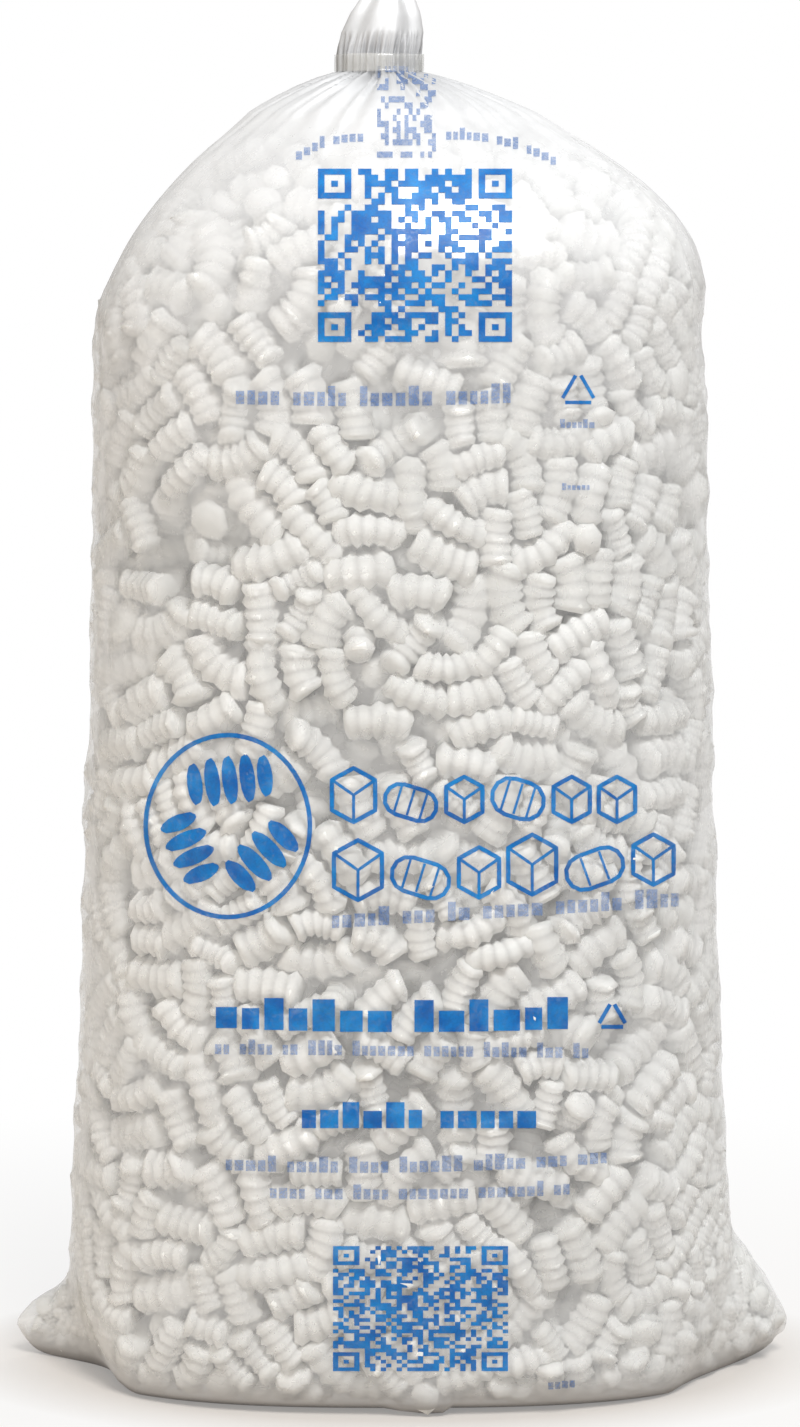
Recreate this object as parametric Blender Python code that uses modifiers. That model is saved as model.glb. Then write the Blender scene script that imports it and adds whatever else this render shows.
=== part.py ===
"""A clear film bag of ribbed foam packing peanuts, gathered and taped shut at the top.

Metres, +Z up. The origin is on the floor, under the middle of the bag. The print side faces -Y.
The bag is a flat tube of film, sealed straight across the bottom and stood up when full: the ends
of that seal stick out as two corners, and the tube rounds out, domes over and gathers to a neck.
"""

import math
import random

import bmesh
import bpy
from mathutils import Matrix, Vector
from mathutils.bvhtree import BVHTree

# Film bag
FILM_THICKNESS = 0.0005
FILM_SAG = 0.0035
BASE_WIDTH = 0.354
BODY_WIDTH = 0.333
SHOULDER_WIDTH = 0.321
BASE_DEPTH = 0.228
BODY_DEPTH = 0.246
SHOULDER_DEPTH = 0.232
BASE_EDGE_RADIUS = 0.024
SHOULDER_HEIGHT = 0.560
DOME_HEIGHT = 0.127
DOME_LEAN = 0.008

# Corners that stick out at the ends of the bottom seal
CORNER_REACH = 0.031
CORNER_TIP_HEIGHT = 0.016
CORNER_TIP_ROUNDING = 0.016
CORNER_ROOT_HEIGHT = 0.092
LEFT_CORNER_PINCH = 16.0
RIGHT_CORNER_PINCH = 3.0

# Gathered neck and the tail of film above it
NECK_WIDTH = 0.045
NECK_DEPTH = 0.036
NECK_OFFSET = -0.011
TAIL_HEIGHT = 0.036
TAIL_WIDTH = 0.047
TAIL_DEPTH = 0.036
TAIL_LEAN = 0.0045
MOUTH_RADIUS = 0.0045
PLEATS = 10
PLEAT_DEPTH = 0.62
PLEAT_TWIST = 0.5

# Tape wound round the neck
TAPE_HEIGHT = 0.009
TAPE_THICKNESS = 0.0006

# Packing peanuts
PEANUT_LENGTH = 0.035
PEANUT_DIAMETER = 0.023
RIBS = 3
PACKED_RIBS = 2
RIB_DEPTH = 0.0018
END_DIMPLE = 0.002
LOOSE_PEANUTS = 54
PACKED_PEANUTS = 82
SINK_IN_HEAP = 0.0045
HEAP_ROUGHNESS = 0.002
HEADSPACE = 0.028

# Fits
CLEARANCE = 0.0003
PEANUT_PLAY = 0.0025
LEAST_SPACING = 1.05
WIDEST_SPACING = 2.6
MISSES_ALLOWED = 60
SEED = 7

# Fineness
SEGMENTS = PLEATS * 4
HEAP_SEGMENTS = 20
TAPE_SIDES = 24
PEANUT_SIDES = 6
PACKED_SIDES = 5
BASE_ROWS = 6
BODY_ROWS = 8
HEAP_BODY_ROWS = 5
DOME_ROWS = 8

NECK_HEIGHT = SHOULDER_HEIGHT + DOME_HEIGHT
TIP_FLAT_SHARE = 1 - CORNER_TIP_ROUNDING / (BASE_WIDTH / 2 + CORNER_REACH)
ROOT_FLAT_SHARE = 0.72
HEAP_FACE_DEPTH = FILM_THICKNESS + PEANUT_DIAMETER + PEANUT_PLAY


def clear_scene():
    for old in list(bpy.data.objects):
        bpy.data.objects.remove(old)


def new_collection(name):
    made = bpy.data.collections.new(name)
    bpy.context.scene.collection.children.link(made)
    return made


def material(name, colour, roughness, alpha=1.0):
    made = bpy.data.materials.new(name)
    made.use_nodes = True
    shader = made.node_tree.nodes["Principled BSDF"]
    shader.inputs["Base Color"].default_value = (*colour, 1.0)
    shader.inputs["Roughness"].default_value = roughness
    shader.inputs["Metallic"].default_value = 0.0
    shader.inputs["Alpha"].default_value = alpha
    made.diffuse_color = (*colour, alpha)
    return made


def blend(low, high, share):
    return low + (high - low) * share


def through_three(low, middle, high, share):
    """A smooth curve through three values, at shares 0, 0.5 and 1."""
    return (
        low * (1 - share) * (1 - 2 * share)
        + middle * 4 * share * (1 - share)
        + high * share * (2 * share - 1)
    )


class Row:
    """One closed line of film round the bag, given by how far and how high it is at the sides and at the front."""

    def __init__(self, side, side_height, front, front_height, squareness=2.0, centre=0.0, pleat=0.0, turn=0.0):
        self.left = self.right = side
        self.side_height = side_height
        self.front = front
        self.front_height = front_height
        self.squareness = squareness
        self.centre = centre
        self.pleat = pleat
        self.turn = turn
        self.flat_share = ROOT_FLAT_SHARE

    def point(self, angle):
        across, along = math.cos(angle), math.sin(angle)
        x = math.copysign(abs(across) ** (2 / self.squareness), across)
        y = math.copysign(abs(along) ** (2 / self.squareness), along)
        fold = 1 - self.pleat * (0.5 - 0.5 * math.cos(PLEATS * angle + self.turn))
        lift = max(0.0, (abs(x) - self.flat_share) / (1 - self.flat_share)) ** 2
        height = blend(self.front_height, self.side_height, lift)
        side = self.right if x > 0 else self.left
        return Vector((self.centre + side * x * fold, self.front * y * fold, height))


def base_row(share, inset=0.0, corners=1.0):
    """From the bottom seal, at share 0, out over the floor to the foot of the walls and the roots of the corners."""
    radius = BASE_EDGE_RADIUS
    flat = BASE_DEPTH / 2 - inset - radius
    run = share * (flat + radius * math.pi / 2)
    front, front_height = run, inset
    if run > flat:
        turn = (run - flat) / radius
        front = flat + radius * math.sin(turn)
        front_height = inset + radius * (1 - math.cos(turn))
    side = BASE_WIDTH / 2 - inset
    row = Row(side, blend(CORNER_TIP_HEIGHT, CORNER_ROOT_HEIGHT, share), front, front_height, blend(3.2, 2.5, share))
    narrowing = math.cos(share * math.pi / 2)
    row.left = side + corners * CORNER_REACH * narrowing**LEFT_CORNER_PINCH
    row.right = side + corners * CORNER_REACH * narrowing**RIGHT_CORNER_PINCH
    row.flat_share = blend(TIP_FLAT_SHARE, ROOT_FLAT_SHARE, share)
    return row


def body_row(share, inset=0.0):
    """From the foot of the walls up to the shoulder."""
    return Row(
        through_three(BASE_WIDTH, BODY_WIDTH, SHOULDER_WIDTH, share) / 2 - inset,
        blend(CORNER_ROOT_HEIGHT, SHOULDER_HEIGHT, share),
        through_three(BASE_DEPTH, BODY_DEPTH, SHOULDER_DEPTH, share) / 2 - inset,
        blend(BASE_EDGE_RADIUS + inset, SHOULDER_HEIGHT, share),
        blend(2.5, 2.25, share),
    )


def dome_row(share, width, depth, rise, pleat=0.0):
    """From the shoulder in to a neck of the given size. The film gathers more the nearer it comes to the neck."""
    fullness = (1 - share**2) ** 0.8
    height = SHOULDER_HEIGHT + rise * share
    return Row(
        blend(width, SHOULDER_WIDTH, fullness) / 2,
        height,
        blend(depth, SHOULDER_DEPTH, fullness) / 2,
        height,
        blend(2.25, 2.0, share),
        DOME_LEAN * math.sin(share * math.pi) + NECK_OFFSET * share**2,
        pleat * (0.07 * share + 0.93 * share**8),
    )


def dome_shares(count):
    """Even steps along the dome's curve, which crowd together in height towards its top."""
    return [math.sin(n / count * math.pi / 2) for n in range(1, count + 1)]


def tail_rows():
    """Up through the tape, out into the loose tail, and over its top to the small open mouth."""
    top_of_tape = NECK_HEIGHT + TAPE_HEIGHT
    rows = []
    # share of the tail's height, of its width, of the pleats' depth and of its lean
    for rise, swell, fold, lean in (
        (0.00, NECK_WIDTH / TAIL_WIDTH, 1.0, 0.0),
        (0.25, 0.97, 0.7, 0.3),
        (0.58, 0.82, 0.6, 0.8),
        (0.88, 0.54, 0.5, 1.0),
        (1.00, 0.28, 0.3, 1.0),
    ):
        height = top_of_tape + TAIL_HEIGHT * rise
        width, depth = TAIL_WIDTH / 2 * swell, TAIL_DEPTH / 2 * swell
        centre = NECK_OFFSET + TAIL_LEAN * lean
        rows.append(Row(width, height, depth, height, 2.0, centre, PLEAT_DEPTH * fold, PLEAT_TWIST * (1 + rise)))
    rows[0].front = NECK_DEPTH / 2
    mouth = top_of_tape + TAIL_HEIGHT - MOUTH_RADIUS
    rows.append(Row(MOUTH_RADIUS, mouth, MOUTH_RADIUS, mouth, centre=NECK_OFFSET + TAIL_LEAN))
    return rows


def film_rows():
    rows = [base_row(n / (BASE_ROWS - 1)) for n in range(BASE_ROWS)]
    rows += [body_row(n / BODY_ROWS) for n in range(1, BODY_ROWS + 1)]
    rows += [dome_row(share, NECK_WIDTH, NECK_DEPTH, DOME_HEIGHT, PLEAT_DEPTH) for share in dome_shares(DOME_ROWS)]
    return rows + tail_rows()


def heap_rows():
    """The packed heap behind the outermost peanuts. It stays out of the corners and stops short of the neck."""
    inset = HEAP_FACE_DEPTH
    floor = FILM_THICKNESS + CLEARANCE
    rows = [base_row(n / (BASE_ROWS - 1), inset, corners=0.0) for n in range(2, BASE_ROWS)]
    for row in rows:
        row.front_height -= inset - floor
        row.side_height -= inset - floor
    rows += [body_row(n / HEAP_BODY_ROWS, inset) for n in range(1, HEAP_BODY_ROWS + 1)]
    for share in dome_shares(DOME_ROWS)[:-2]:
        row = dome_row(share, 2.4 * inset, 2.4 * inset, DOME_HEIGHT - HEADSPACE)
        row.left -= inset
        row.right -= inset
        row.front -= inset
        rows.append(row)
    return rows


def loft(name, rows, segments, sealed=False, closed=False):
    """A skin through the rows. A seal joins the first row's front and back, and a closed skin has a face at each end."""
    shape = bmesh.new()
    rings = []
    for row in rows:
        rings.append([shape.verts.new(row.point(2 * math.pi * n / segments)) for n in range(segments)])
    if sealed:
        for n in range(1, segments // 2):
            bmesh.ops.pointmerge(shape, verts=[rings[0][n], rings[0][-n]], merge_co=rings[0][n].co)
            rings[0][-n] = rings[0][n]
    if closed:
        shape.faces.new(rings[0])
        shape.faces.new(rings[-1])
    for lower, upper in zip(rings, rings[1:]):
        for n in range(segments):
            corners = []
            for corner in (lower[n], lower[n - 1], upper[n - 1], upper[n]):
                if corner not in corners:
                    corners.append(corner)
            shape.faces.new(corners)
    bmesh.ops.recalc_face_normals(shape, faces=shape.faces)
    mesh = bpy.data.meshes.new(name)
    shape.to_mesh(mesh)
    shape.free()
    mesh.shade_smooth()
    return bpy.data.objects.new(name, mesh)


def solidify(solid, thickness):
    wall = solid.modifiers.new("wall", "SOLIDIFY")
    wall.thickness = thickness
    wall.offset = -1.0
    wall.use_rim = True


def make_film(into, film, rolls):
    """The bag's skin. Between the foot and the dome the film sags in a little, by chance, where nothing presses on it."""
    bag = loft("film_bag", film_rows(), SEGMENTS, sealed=True)
    for corner in bag.data.vertices:
        if CORNER_ROOT_HEIGHT < corner.co.z < SHOULDER_HEIGHT - CLEARANCE:
            corner.co -= corner.normal * rolls.uniform(0, FILM_SAG)
    into.objects.link(bag)
    solidify(bag, FILM_THICKNESS)
    bag.data.materials.append(film)
    return bag


def make_tape(into, clear):
    """One turn of tape, drawn tight round the crests of the pleats."""
    grip = CLEARANCE + TAPE_THICKNESS
    rows = []
    for height in (NECK_HEIGHT, NECK_HEIGHT + TAPE_HEIGHT):
        rows.append(Row(NECK_WIDTH / 2 + grip, height, NECK_DEPTH / 2 + grip, height, centre=NECK_OFFSET))
    tape = loft("neck_tape", rows, TAPE_SIDES)
    into.objects.link(tape)
    solidify(tape, TAPE_THICKNESS)
    tape.data.materials.append(clear)
    return tape


def rib_profile(ribs, dimple):
    """Half of a peanut's outline, from the dimple in one end over the ribs to the dimple in the other."""
    crest = PEANUT_DIAMETER / 2
    groove = crest - RIB_DEPTH
    half = PEANUT_LENGTH / 2
    pitch = PEANUT_LENGTH / ribs
    points = [(0.0, half - dimple), (groove * 0.8, half)]
    for n in range(ribs):
        middle = half - pitch * (n + 0.5)
        if n:
            points.append((groove, middle + pitch / 2))
        points.append((crest, middle))
    points += [(groove * 0.8, -half), (0.0, dimple - half)]
    return points


def turned(name, points, sides):
    """A closed solid of revolution about Z."""
    shape = bmesh.new()
    corners = [shape.verts.new((radius, 0.0, height)) for radius, height in points]
    edges = [shape.edges.new(pair) for pair in zip(corners, corners[1:])]
    bmesh.ops.spin(
        shape,
        geom=corners + edges,
        cent=(0, 0, 0),
        axis=(0, 0, 1),
        angle=2 * math.pi,
        steps=sides,
        use_merge=True,
    )
    bmesh.ops.remove_doubles(shape, verts=shape.verts, dist=0.0001)
    bmesh.ops.dissolve_limit(shape, angle_limit=0.001, verts=shape.verts, edges=shape.edges)
    bmesh.ops.recalc_face_normals(shape, faces=shape.faces)
    mesh = bpy.data.meshes.new(name)
    shape.to_mesh(mesh)
    shape.free()
    mesh.shade_smooth()
    return mesh


def tree_of(solid):
    shape = bmesh.new()
    shape.from_mesh(solid.data)
    tree = BVHTree.FromBMesh(shape)
    shape.free()
    return tree


def spots_on(solid, lowest, highest, rolls):
    """Without end, a place drawn evenly over a solid's faces between two heights, and the way out from it."""
    faces = [face for face in solid.data.polygons if lowest < face.center.z < highest and len(face.vertices) == 4]
    sizes = [face.area for face in faces]
    while True:
        face = rolls.choices(faces, sizes)[0]
        corners = [solid.data.vertices[n].co for n in face.vertices]
        along, up = rolls.random(), rolls.random()
        yield corners[0].lerp(corners[1], along).lerp(corners[3].lerp(corners[2], along), up), face.normal


def turned_along(normal, rolls):
    """A random turn of a peanut that lies nearly flat on a face, with one of its edges up."""
    axis = Matrix.Rotation(rolls.uniform(0, math.pi), 3, normal) @ normal.orthogonal()
    axis = (axis.normalized() + normal * rolls.uniform(-0.2, 0.2)).normalized()
    edge = (normal - axis * normal.dot(axis)).normalized()
    return Matrix((edge, axis.cross(edge), axis)).transposed().to_4x4()


def shortfall(place, shape, tree, needed, inside):
    """By how much a peanut's surface comes nearer to a skin than needed: less than none if it clears it all over."""
    worst = -needed
    for corner in shape.vertices:
        spot = place @ corner.co
        near, normal, _, distance = tree.find_nearest(spot)
        right_side = ((near - spot).dot(normal) > 0) == inside
        worst = max(worst, needed - distance if right_side else needed + distance)
    return worst


def apart(first, second):
    """The distance between the core lines of two peanuts."""
    reach = PEANUT_LENGTH / 2 - PEANUT_DIAMETER / 3
    lines = []
    for place in (first, second):
        arm = place.to_3x3() @ Vector((0, 0, reach))
        lines.append([place.translation + arm * share for share in (-1, -0.5, 0, 0.5, 1)])
    return min((one - other).length for one in lines[0] for other in lines[1])


def spread(count, drawn, taken):
    """Keep peanuts as they are drawn if they lie well apart, and let them come nearer as room runs out."""
    places = []
    spacing = WIDEST_SPACING
    misses = 0
    while len(places) < count and spacing > LEAST_SPACING:
        place = next(drawn)
        if place and all(apart(place, other) > PEANUT_DIAMETER * spacing for other in taken + places):
            places.append(place)
            misses = 0
            continue
        misses += 1
        if misses == MISSES_ALLOWED:
            spacing *= 0.97
            misses = 0
    return places


def draw_loose(bag, heap, shape, rolls):
    """Peanuts that lie against the film, clear of the heap."""
    film_tree, heap_tree = tree_of(bag), tree_of(heap)
    gap = FILM_THICKNESS + 2 * CLEARANCE
    for spot, out in spots_on(bag, PEANUT_DIAMETER / 3, NECK_HEIGHT - HEADSPACE, rolls):
        turn = turned_along(out, rolls)
        depth = gap + PEANUT_DIAMETER / 2
        place = None
        while depth < HEAP_FACE_DEPTH:
            place = Matrix.Translation(spot - out * depth) @ turn
            short = shortfall(place, shape, film_tree, gap, True)
            if short <= 0:
                break
            depth += short + CLEARANCE / 2
            place = None
        if place and shortfall(place, shape, heap_tree, CLEARANCE, False) > 0:
            place = None
        yield place


def draw_packed(bag, heap, shape, rolls):
    """Peanuts that lie on the heap and are sunk into it a little, clear of the film."""
    film_tree = tree_of(bag)
    for spot, out in spots_on(heap, PEANUT_LENGTH, NECK_HEIGHT - HEADSPACE, rolls):
        place = Matrix.Translation(spot + out * (PEANUT_DIAMETER / 2 - SINK_IN_HEAP)) @ turned_along(out, rolls)
        clear = shortfall(place, shape, film_tree, FILM_THICKNESS + 2 * CLEARANCE, True) <= 0
        yield place if clear else None


def make_heap(into, foam, rolls):
    """The body of the heap, roughened all over but for its flat base."""
    heap = loft("peanut_heap", heap_rows(), HEAP_SEGMENTS, closed=True)
    for corner in heap.data.vertices:
        if corner.co.z > BASE_EDGE_RADIUS:
            corner.co += corner.normal * rolls.uniform(-HEAP_ROUGHNESS, 0)
    heap.data.shade_flat()
    heap.data.materials.append(foam)
    into.objects.link(heap)
    return heap


def make_peanuts(into, cutters, bag, foam, rolls):
    """Loose peanuts as pieces of their own, and the heap that they lie on, with the rest of the outer ones fused to it."""
    heap = make_heap(into, foam, rolls)
    loose_shape = turned("peanut", rib_profile(RIBS, END_DIMPLE), PEANUT_SIDES)
    packed_shape = turned("packed_peanut", rib_profile(PACKED_RIBS, 0.0), PACKED_SIDES)
    loose = spread(LOOSE_PEANUTS, draw_loose(bag, heap, loose_shape, rolls), [])
    for number, place in enumerate(loose, 1):
        peanut = bpy.data.objects.new(f"peanut_{number:02d}", loose_shape.copy())
        peanut.data.materials.append(foam)
        peanut.matrix_world = place
        into.objects.link(peanut)
    packed = spread(PACKED_PEANUTS, draw_packed(bag, heap, packed_shape, rolls), loose)
    for number, place in enumerate(packed, 1):
        tool = bpy.data.objects.new(f"packed_{number:02d}", packed_shape)
        tool.matrix_world = place
        tool.hide_render = True
        tool.display_type = "WIRE"
        cutters.objects.link(tool)
    fuse = heap.modifiers.new("packed peanuts", "BOOLEAN")
    fuse.operation = "UNION"
    fuse.solver = "EXACT"
    fuse.operand_type = "COLLECTION"
    fuse.collection = cutters


def build():
    clear_scene()
    rolls = random.Random(SEED)
    parts = new_collection("packing_peanut_bag")
    cutters = new_collection("cutters")
    cutters.hide_render = True
    film = material("clear_film", (0.93, 0.94, 0.95), 0.12, 0.28)
    foam = material("white_foam", (0.90, 0.88, 0.84), 0.75)
    tape = material("clear_tape", (0.90, 0.90, 0.88), 0.2, 0.5)
    bag = make_film(parts, film, rolls)
    make_tape(parts, tape)
    make_peanuts(parts, cutters, bag, foam, rolls)


build()
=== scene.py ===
# %% [markdown]
# # A clear bag of packing peanuts
#
# This script dresses a bag of foam loose fill. The construction is already settled in the frame that is loaded
# first: the bag's film, the tape round its neck, the loose peanuts and the heap behind them. Here each of them
# gets the finish of the real thing. We work in metres, with Z up, the floor at zero and the print facing -Y.

# %% Load the frame
import math

import bmesh
import bpy
import numpy as np
from mathutils import Matrix, Vector, noise
from mathutils.bvhtree import BVHTree


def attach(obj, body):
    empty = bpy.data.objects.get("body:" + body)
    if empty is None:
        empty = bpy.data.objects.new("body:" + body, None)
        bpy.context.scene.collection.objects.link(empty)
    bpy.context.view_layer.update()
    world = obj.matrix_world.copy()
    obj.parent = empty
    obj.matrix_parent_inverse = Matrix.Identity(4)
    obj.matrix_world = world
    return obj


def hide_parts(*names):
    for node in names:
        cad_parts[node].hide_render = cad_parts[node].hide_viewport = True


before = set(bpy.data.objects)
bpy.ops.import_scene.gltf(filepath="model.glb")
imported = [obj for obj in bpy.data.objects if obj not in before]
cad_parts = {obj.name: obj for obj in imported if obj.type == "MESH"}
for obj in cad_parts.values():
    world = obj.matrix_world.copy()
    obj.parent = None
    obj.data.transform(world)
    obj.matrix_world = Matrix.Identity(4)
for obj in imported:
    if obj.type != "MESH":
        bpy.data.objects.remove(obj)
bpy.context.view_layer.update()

MM = 0.001
LOOSE_NODES = sorted(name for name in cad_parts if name.startswith("peanut_") and name != "peanut_heap")
SEED = 11
random = np.random.default_rng(SEED)
noise.seed_set(SEED)


# %% [markdown]
# ## The camera
#
# A bag this tall is photographed from about two metres away with a long lens, a little above its middle. Setting
# the camera first lets the print be laid along its lines of sight later. Half the picture's height over the
# distance gives the lens.

# %% Camera
PICTURE = (800, 1427)
PICTURE_SCALE = 0.531 * MM
CAMERA_DISTANCE = 2.0
CAMERA_ELEVATION = math.radians(8)
LOOKED_AT = Vector((0, 0, 0.351))


def add_camera():
    bpy.ops.object.camera_add()
    camera = bpy.context.object
    camera.name = "camera"
    camera.data.sensor_width = 36
    camera.data.lens = 36 / (PICTURE[1] * PICTURE_SCALE) * CAMERA_DISTANCE
    back = Vector((0, -math.cos(CAMERA_ELEVATION), math.sin(CAMERA_ELEVATION)))
    camera.location = LOOKED_AT + back * CAMERA_DISTANCE
    camera.rotation_euler = (-back).to_track_quat("-Z", "Y").to_euler()
    bpy.context.scene.camera = camera
    print("lens", round(camera.data.lens, 1), "mm")


add_camera()


# %% [markdown]
# ## The bag's form
#
# The bag is a flat tube of film, welded straight across the bottom. Stood up and filled, it turns into rows of
# closed rings: flat on the floor, squarish at the foot, nearly oval higher up, and drawn in to a neck at the top.
# We describe each ring by its reach to the left, the right and the front, and by how high it is at the front and
# at the sides. These are the construction's own sizes, so the finished film stays where the solid is.

# %% Sizes of the bag
BASE_WIDTH, BODY_WIDTH, SHOULDER_WIDTH = 0.354, 0.333, 0.321
BASE_DEPTH, BODY_DEPTH, SHOULDER_DEPTH = 0.228, 0.246, 0.232
BASE_EDGE_RADIUS = 0.024
SHOULDER_HEIGHT, DOME_HEIGHT, DOME_LEAN = 0.560, 0.127, 0.008
NECK_HEIGHT = SHOULDER_HEIGHT + DOME_HEIGHT
CORNER_REACH, CORNER_TIP_HEIGHT, CORNER_ROOT_HEIGHT = 0.031, 0.016, 0.092
LEFT_CORNER_PINCH, RIGHT_CORNER_PINCH = 16.0, 3.0
TIP_FLAT_SHARE = 1 - 0.016 / (BASE_WIDTH / 2 + CORNER_REACH)
ROOT_FLAT_SHARE = 0.72
NECK_WIDTH, NECK_DEPTH, NECK_OFFSET = 0.045, 0.036, -0.011
TAPE_HEIGHT = 0.009
TAIL_HEIGHT, TAIL_WIDTH, TAIL_DEPTH, TAIL_LEAN = 0.036, 0.047, 0.036, 0.0045
COLUMNS = 288
BASE_ROWS, BODY_ROWS, DOME_ROWS, NECK_ROWS, TAIL_ROWS = 30, 124, 52, 5, 20


def blend(low, high, share):
    return low + (high - low) * share


def through_three(low, middle, high, share):
    return low * (1 - share) * (1 - 2 * share) + middle * 4 * share * (1 - share) + high * share * (2 * share - 1)


def base_rings():
    """Out from the weld over the floor, round the edge of the base, to the roots of the corners."""
    share = np.linspace(0, 1, BASE_ROWS)
    flat = BASE_DEPTH / 2 - BASE_EDGE_RADIUS
    run = share * (flat + BASE_EDGE_RADIUS * math.pi / 2)
    turn = np.clip((run - flat) / BASE_EDGE_RADIUS, 0, None)
    narrowing = np.cos(share * math.pi / 2)
    return dict(
        left=BASE_WIDTH / 2 + CORNER_REACH * narrowing**LEFT_CORNER_PINCH,
        right=BASE_WIDTH / 2 + CORNER_REACH * narrowing**RIGHT_CORNER_PINCH,
        side_height=blend(CORNER_TIP_HEIGHT, CORNER_ROOT_HEIGHT, share),
        front=np.where(run > flat, flat + BASE_EDGE_RADIUS * np.sin(turn), run),
        front_height=BASE_EDGE_RADIUS * (1 - np.cos(turn)),
        squareness=blend(3.2, 2.5, share),
        flat_share=blend(TIP_FLAT_SHARE, ROOT_FLAT_SHARE, share),
        centre=0 * share,
        gather=0 * share,
    )


def body_rings():
    share = np.linspace(0, 1, BODY_ROWS + 1)[1:]
    side = through_three(BASE_WIDTH, BODY_WIDTH, SHOULDER_WIDTH, share) / 2
    return dict(
        left=side,
        right=side,
        side_height=blend(CORNER_ROOT_HEIGHT, SHOULDER_HEIGHT, share),
        front=through_three(BASE_DEPTH, BODY_DEPTH, SHOULDER_DEPTH, share) / 2,
        front_height=blend(BASE_EDGE_RADIUS, SHOULDER_HEIGHT, share),
        squareness=blend(2.5, 2.25, share),
        flat_share=0 * share + ROOT_FLAT_SHARE,
        centre=0 * share,
        gather=0 * share,
    )


def dome_rings():
    share = np.sin(np.linspace(0, math.pi / 2, DOME_ROWS + 1)[1:])
    fullness = (1 - np.clip(share, 0, 1) ** 2) ** 0.8
    height = SHOULDER_HEIGHT + DOME_HEIGHT * share
    side = blend(NECK_WIDTH, SHOULDER_WIDTH, fullness) / 2
    return dict(
        left=side,
        right=side,
        side_height=height,
        front=blend(NECK_DEPTH, SHOULDER_DEPTH, fullness) / 2,
        front_height=height,
        squareness=blend(2.25, 2.0, share),
        flat_share=0 * share + ROOT_FLAT_SHARE,
        centre=DOME_LEAN * np.sin(share * math.pi) + NECK_OFFSET * share**2,
        gather=share**6,
    )


def neck_rings():
    """Straight up through the tape, then the loose tail above it, which narrows and leans back to the middle."""
    rise = np.concatenate([0 * np.arange(NECK_ROWS), np.linspace(0, 1, TAIL_ROWS + 1)[1:]])
    through = np.concatenate([np.linspace(0, 1, NECK_ROWS + 1)[1:], 0 * np.arange(TAIL_ROWS) + 1])
    swell = np.interp(rise, [0, 0.12, 0.3, 0.58, 0.8, 0.93, 1.0], [0.957, 0.97, 0.96, 0.82, 0.63, 0.42, 0.22])
    height = NECK_HEIGHT + TAPE_HEIGHT * through + TAIL_HEIGHT * rise
    side = np.where(rise > 0, TAIL_WIDTH / 2 * swell, NECK_WIDTH / 2)
    return dict(
        left=side,
        right=side,
        side_height=height,
        front=np.where(rise > 0, TAIL_DEPTH / 2 * swell, NECK_DEPTH / 2),
        front_height=height,
        squareness=0 * rise + 2.0,
        flat_share=0 * rise + ROOT_FLAT_SHARE,
        centre=NECK_OFFSET + TAIL_LEAN * np.clip(rise * 1.3, 0, 1),
        gather=np.interp(rise, [0, 0.3, 0.7, 1.0], [1.0, 0.75, 0.55, 0.35]),
    )


def stack(*parts):
    return {key: np.concatenate([part[key] for part in parts])[:, None] for key in parts[0]}


def ring_points(rings, angle):
    """Every point of every ring, as rows by columns by three."""
    across, along = np.cos(angle), np.sin(angle)
    x = np.sign(across) * np.abs(across) ** (2 / rings["squareness"])
    y = np.sign(along) * np.abs(along) ** (2 / rings["squareness"])
    lift = np.clip((np.abs(x) - rings["flat_share"]) / (1 - rings["flat_share"]), 0, None) ** 2
    side = np.where(x > 0, rings["right"], rings["left"])
    return np.stack(
        [rings["centre"] + side * x, rings["front"] * y, blend(rings["front_height"], rings["side_height"], lift)],
        axis=-1,
    )


RINGS = stack(base_rings(), body_rings(), dome_rings(), neck_rings())
ANGLE = np.linspace(0, 2 * math.pi, COLUMNS, endpoint=False)[None, :] - math.pi / 2
SKIN = ring_points(RINGS, ANGLE)
print("film grid", SKIN.shape[:2])


# %% [markdown]
# ## Where the peanuts lie
#
# In the real bag the peanuts are poured in and shaken down, so they lie at random, nearly touching, and press on
# the film. We do the same with numbers: each peanut is a short line with a thickness. All start at random places,
# half grown. As they grow to full size, any two that overlap push each other apart and turn, and the film pushes
# them back inside. The loose peanuts of the construction keep their places and the others make room for them.

# %% Settle the heap
PEANUT_RADIUS = 11.5 * MM
PEANUT_LENGTH = 35 * MM
ARM = PEANUT_LENGTH / 2 - PEANUT_RADIUS * 0.93
HEAP_SIZES = (0.68, 0.96)
HEAP_TOP = NECK_HEIGHT - 0.013
HEAP_COUNT = 3650
FILLED_REGIONS = (
    (240, (BASE_WIDTH / 2 - 0.012, 0.0, 0.003), (BASE_WIDTH / 2 + CORNER_REACH, 0.07, 0.085), (0.24, 0.60)),
    (90, (0.0, 0.070, 0.004), (BASE_WIDTH / 2 - 0.010, BASE_DEPTH / 2, 0.030), (0.50, 0.80)),
)
SETTLE_STEPS = 100
OUTER_REACH = 14 * MM
DRAW_SHARE, DRAWN_SHARE = 0.2, 0.92


def skin_tree(points):
    """A search tree over a grid of film, which closes on itself from side to side."""
    rows, columns = points.shape[:2]
    corner = np.arange(rows * columns).reshape(rows, columns)
    following = np.roll(corner, -1, axis=1)
    quads = np.stack([corner[:-1], following[:-1], following[1:], corner[1:]], axis=-1).reshape(-1, 4)
    return BVHTree.FromPolygons(points.reshape(-1, 3).tolist(), quads.tolist())


def inner_skin():
    """The film up to the neck, as coarse as the settling can do with."""
    return skin_tree(SKIN[: -TAIL_ROWS - NECK_ROWS : 3, ::4])


def depth_below(tree, places):
    """How deep each place lies below the film, and the way in from there."""
    depth, inward = np.empty(len(places)), np.empty((len(places), 3))
    for n, place in enumerate(places.tolist()):
        near, normal, _, _ = tree.find_nearest(place)
        depth[n] = (near - Vector(place)).dot(normal)
        inward[n] = -normal
    return depth, inward


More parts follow.
